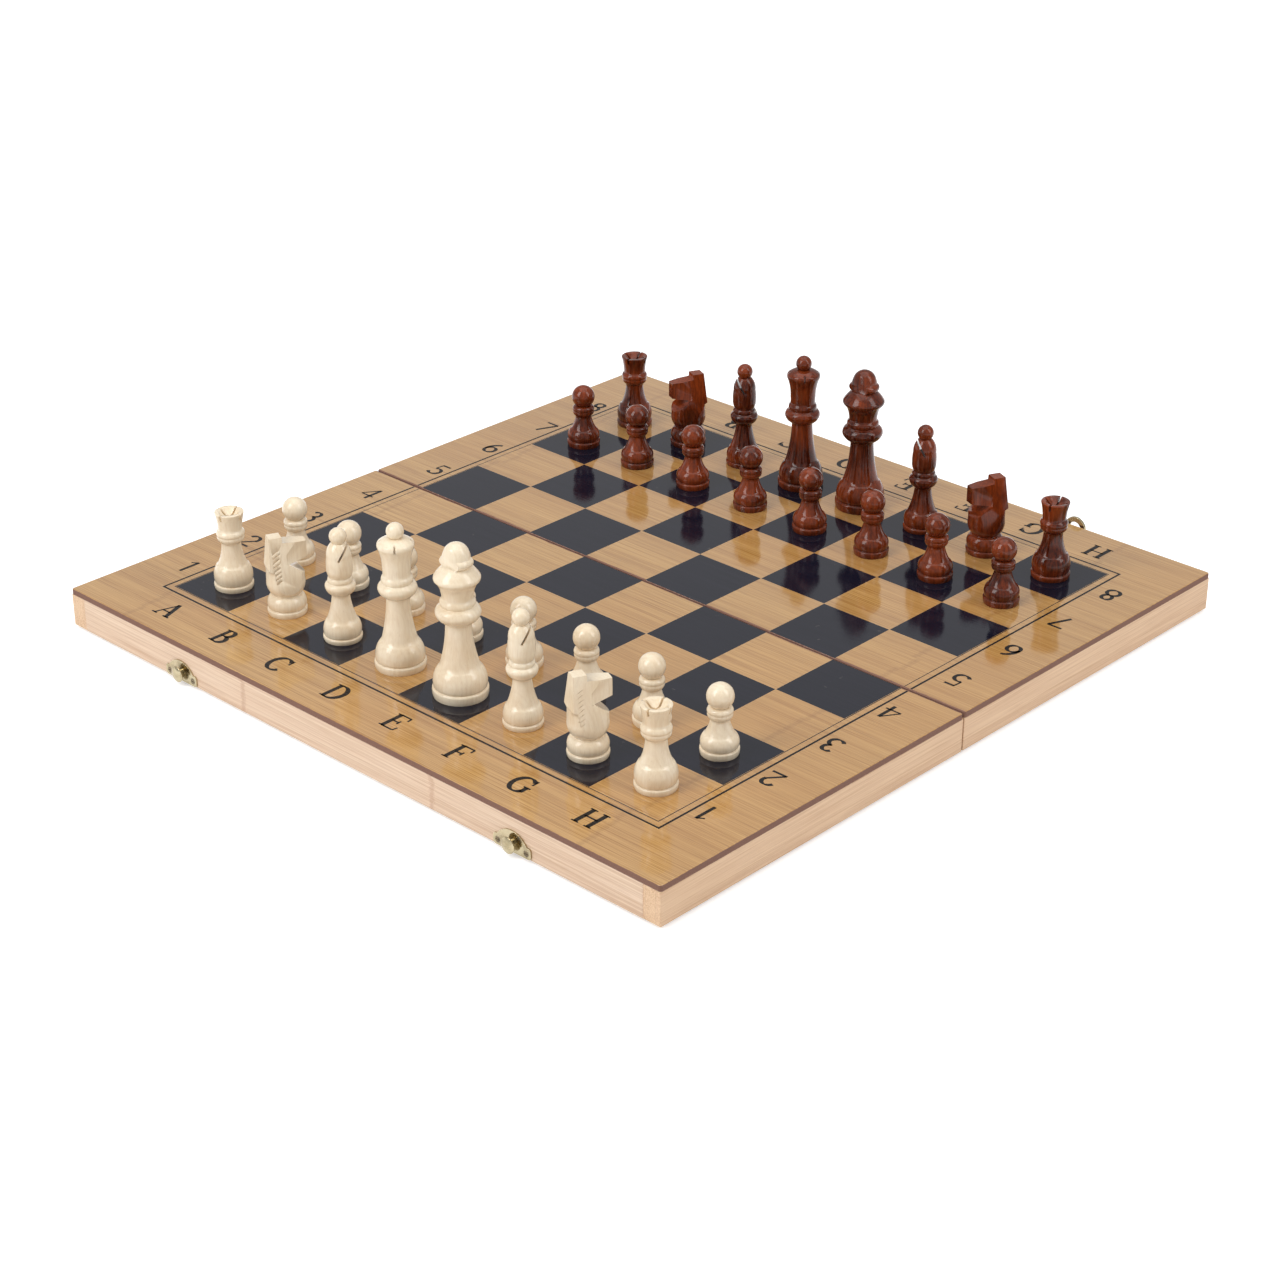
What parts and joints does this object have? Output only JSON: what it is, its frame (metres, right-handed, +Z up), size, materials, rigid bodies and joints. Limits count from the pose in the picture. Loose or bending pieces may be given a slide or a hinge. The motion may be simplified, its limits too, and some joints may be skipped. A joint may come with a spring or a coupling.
{
  "type": "folding chess set",
  "caption": "Folding wooden chess box opened flat as a board, with hinged tray halves, brass hook catches and turned men set up for a game.",
  "frame": {"origin": "under the middle of the seam, on the surface the box stands on", "axes": "+X from file A to file H, +Y from White's side to Black's side, +Z up"},
  "size_m": [0.4, 0.4122, 0.0979],
  "materials": {
    "pale_wood_men": "satin lacquer",
    "red_brown_men": "gloss stain and lacquer",
    "veneered_panel": "gloss lacquer",
    "rail_wood": "satin",
    "black_inlay": "gloss lacquer",
    "brass": "polished"
  },
  "bodies": {
    "near_half": {"catch_plates": "brass", "catch_screws": "brass", "catch_studs": "brass", "hinge_pins": "brass", "near_border_lines": "black_inlay", "near_dark_squares": "black_inlay", "near_hinge_leaves": "brass", "near_hinge_screws": "brass", "near_left_rail": "rail_wood", "near_outer_rail": "rail_wood", "near_panel": "veneered_panel", "near_right_rail": "rail_wood", "near_seam_rail": "rail_wood"},
    "far_half": {"far_border_lines": "black_inlay", "far_dark_squares": "black_inlay", "far_hinge_leaves": "brass", "far_hinge_screws": "brass", "far_left_rail": "rail_wood", "far_outer_rail": "rail_wood", "far_panel": "veneered_panel", "far_right_rail": "rail_wood", "far_seam_rail": "rail_wood", "hook_pivots": "brass", "hook_plates": "brass", "hook_screws": "brass"},
    "left_hook": {"left_hook": "brass"},
    "right_hook": {"right_hook": "brass"},
    "black_bishop_c8": {"black_bishop_c8": "red_brown_men"},
    "black_bishop_f8": {"black_bishop_f8": "red_brown_men"},
    "black_king_e8": {"black_king_e8": "red_brown_men"},
    "black_knight_b8": {"black_knight_b8": "red_brown_men"},
    "black_knight_g8": {"black_knight_g8": "red_brown_men"},
    "black_pawn_a7": {"black_pawn_a7": "red_brown_men"},
    "black_pawn_b7": {"black_pawn_b7": "red_brown_men"},
    "black_pawn_c7": {"black_pawn_c7": "red_brown_men"},
    "black_pawn_d7": {"black_pawn_d7": "red_brown_men"},
    "black_pawn_e7": {"black_pawn_e7": "red_brown_men"},
    "black_pawn_f7": {"black_pawn_f7": "red_brown_men"},
    "black_pawn_g7": {"black_pawn_g7": "red_brown_men"},
    "black_pawn_h7": {"black_pawn_h7": "red_brown_men"},
    "black_queen_d8": {"black_queen_d8": "red_brown_men"},
    "black_rook_a8": {"black_rook_a8": "red_brown_men"},
    "black_rook_h8": {"black_rook_h8": "red_brown_men"},
    "white_bishop_c1": {"white_bishop_c1": "pale_wood_men"},
    "white_bishop_f1": {"white_bishop_f1": "pale_wood_men"},
    "white_king_e1": {"white_king_e1": "pale_wood_men"},
    "white_knight_b1": {"white_knight_b1": "pale_wood_men"},
    "white_knight_g1": {"white_knight_g1": "pale_wood_men"},
    "white_pawn_a2": {"white_pawn_a2": "pale_wood_men"},
    "white_pawn_b2": {"white_pawn_b2": "pale_wood_men"},
    "white_pawn_c2": {"white_pawn_c2": "pale_wood_men"},
    "white_pawn_d2": {"white_pawn_d2": "pale_wood_men"},
    "white_pawn_e2": {"white_pawn_e2": "pale_wood_men"},
    "white_pawn_f2": {"white_pawn_f2": "pale_wood_men"},
    "white_pawn_g2": {"white_pawn_g2": "pale_wood_men"},
    "white_pawn_h2": {"white_pawn_h2": "pale_wood_men"},
    "white_queen_d1": {"white_queen_d1": "pale_wood_men"},
    "white_rook_a1": {"white_rook_a1": "pale_wood_men"},
    "white_rook_h1": {"white_rook_h1": "pale_wood_men"}
  },
  "joints": [
    {"name": "board_fold", "type": "hinge", "parent": "near_half", "child": "far_half", "pos_m": [0, 0, 0.0013], "axis": [-1, 0, 0], "range_deg": [0, 180]},
    {"name": "left_hook_swing", "type": "hinge", "parent": "far_half", "child": "left_hook", "pos_m": [-0.1135, 0.2036, 0.0082], "axis": [0, 1, 0], "range_deg": [0, 162]},
    {"name": "right_hook_swing", "type": "hinge", "parent": "far_half", "child": "right_hook", "pos_m": [0.1135, 0.2036, 0.0082], "axis": [0, 1, 0], "range_deg": [0, 162]},
    {"name": "black_bishop_c8_lift", "type": "slide", "parent": "far_half", "child": "black_bishop_c8", "axis": [0, 0, 1], "range_m": [0, 0.1]},
    {"name": "black_bishop_f8_lift", "type": "slide", "parent": "far_half", "child": "black_bishop_f8", "axis": [0, 0, 1], "range_m": [0, 0.1]},
    {"name": "black_king_e8_lift", "type": "slide", "parent": "far_half", "child": "black_king_e8", "axis": [0, 0, 1], "range_m": [0, 0.1]},
    {"name": "black_knight_b8_lift", "type": "slide", "parent": "far_half", "child": "black_knight_b8", "axis": [0, 0, 1], "range_m": [0, 0.1]},
    {"name": "black_knight_g8_lift", "type": "slide", "parent": "far_half", "child": "black_knight_g8", "axis": [0, 0, 1], "range_m": [0, 0.1]},
    {"name": "black_pawn_a7_lift", "type": "slide", "parent": "far_half", "child": "black_pawn_a7", "axis": [0, 0, 1], "range_m": [0, 0.1]},
    {"name": "black_pawn_b7_lift", "type": "slide", "parent": "far_half", "child": "black_pawn_b7", "axis": [0, 0, 1], "range_m": [0, 0.1]},
    {"name": "black_pawn_c7_lift", "type": "slide", "parent": "far_half", "child": "black_pawn_c7", "axis": [0, 0, 1], "range_m": [0, 0.1]},
    {"name": "black_pawn_d7_lift", "type": "slide", "parent": "far_half", "child": "black_pawn_d7", "axis": [0, 0, 1], "range_m": [0, 0.1]},
    {"name": "black_pawn_e7_lift", "type": "slide", "parent": "far_half", "child": "black_pawn_e7", "axis": [0, 0, 1], "range_m": [0, 0.1]},
    {"name": "black_pawn_f7_lift", "type": "slide", "parent": "far_half", "child": "black_pawn_f7", "axis": [0, 0, 1], "range_m": [0, 0.1]},
    {"name": "black_pawn_g7_lift", "type": "slide", "parent": "far_half", "child": "black_pawn_g7", "axis": [0, 0, 1], "range_m": [0, 0.1]},
    {"name": "black_pawn_h7_lift", "type": "slide", "parent": "far_half", "child": "black_pawn_h7", "axis": [0, 0, 1], "range_m": [0, 0.1]},
    {"name": "black_queen_d8_lift", "type": "slide", "parent": "far_half", "child": "black_queen_d8", "axis": [0, 0, 1], "range_m": [0, 0.1]},
    {"name": "black_rook_a8_lift", "type": "slide", "parent": "far_half", "child": "black_rook_a8", "axis": [0, 0, 1], "range_m": [0, 0.1]},
    {"name": "black_rook_h8_lift", "type": "slide", "parent": "far_half", "child": "black_rook_h8", "axis": [0, 0, 1], "range_m": [0, 0.1]},
    {"name": "white_bishop_c1_lift", "type": "slide", "parent": "near_half", "child": "white_bishop_c1", "axis": [0, 0, 1], "range_m": [0, 0.1]},
    {"name": "white_bishop_f1_lift", "type": "slide", "parent": "near_half", "child": "white_bishop_f1", "axis": [0, 0, 1], "range_m": [0, 0.1]},
    {"name": "white_king_e1_lift", "type": "slide", "parent": "near_half", "child": "white_king_e1", "axis": [0, 0, 1], "range_m": [0, 0.1]},
    {"name": "white_knight_b1_lift", "type": "slide", "parent": "near_half", "child": "white_knight_b1", "axis": [0, 0, 1], "range_m": [0, 0.1]},
    {"name": "white_knight_g1_lift", "type": "slide", "parent": "near_half", "child": "white_knight_g1", "axis": [0, 0, 1], "range_m": [0, 0.1]},
    {"name": "white_pawn_a2_lift", "type": "slide", "parent": "near_half", "child": "white_pawn_a2", "axis": [0, 0, 1], "range_m": [0, 0.1]},
    {"name": "white_pawn_b2_lift", "type": "slide", "parent": "near_half", "child": "white_pawn_b2", "axis": [0, 0, 1], "range_m": [0, 0.1]},
    {"name": "white_pawn_c2_lift", "type": "slide", "parent": "near_half", "child": "white_pawn_c2", "axis": [0, 0, 1], "range_m": [0, 0.1]},
    {"name": "white_pawn_d2_lift", "type": "slide", "parent": "near_half", "child": "white_pawn_d2", "axis": [0, 0, 1], "range_m": [0, 0.1]},
    {"name": "white_pawn_e2_lift", "type": "slide", "parent": "near_half", "child": "white_pawn_e2", "axis": [0, 0, 1], "range_m": [0, 0.1]},
    {"name": "white_pawn_f2_lift", "type": "slide", "parent": "near_half", "child": "white_pawn_f2", "axis": [0, 0, 1], "range_m": [0, 0.1]},
    {"name": "white_pawn_g2_lift", "type": "slide", "parent": "near_half", "child": "white_pawn_g2", "axis": [0, 0, 1], "range_m": [0, 0.1]},
    {"name": "white_pawn_h2_lift", "type": "slide", "parent": "near_half", "child": "white_pawn_h2", "axis": [0, 0, 1], "range_m": [0, 0.1]},
    {"name": "white_queen_d1_lift", "type": "slide", "parent": "near_half", "child": "white_queen_d1", "axis": [0, 0, 1], "range_m": [0, 0.1]},
    {"name": "white_rook_a1_lift", "type": "slide", "parent": "near_half", "child": "white_rook_a1", "axis": [0, 0, 1], "range_m": [0, 0.1]},
    {"name": "white_rook_h1_lift", "type": "slide", "parent": "near_half", "child": "white_rook_h1", "axis": [0, 0, 1], "range_m": [0, 0.1]}
  ]
}
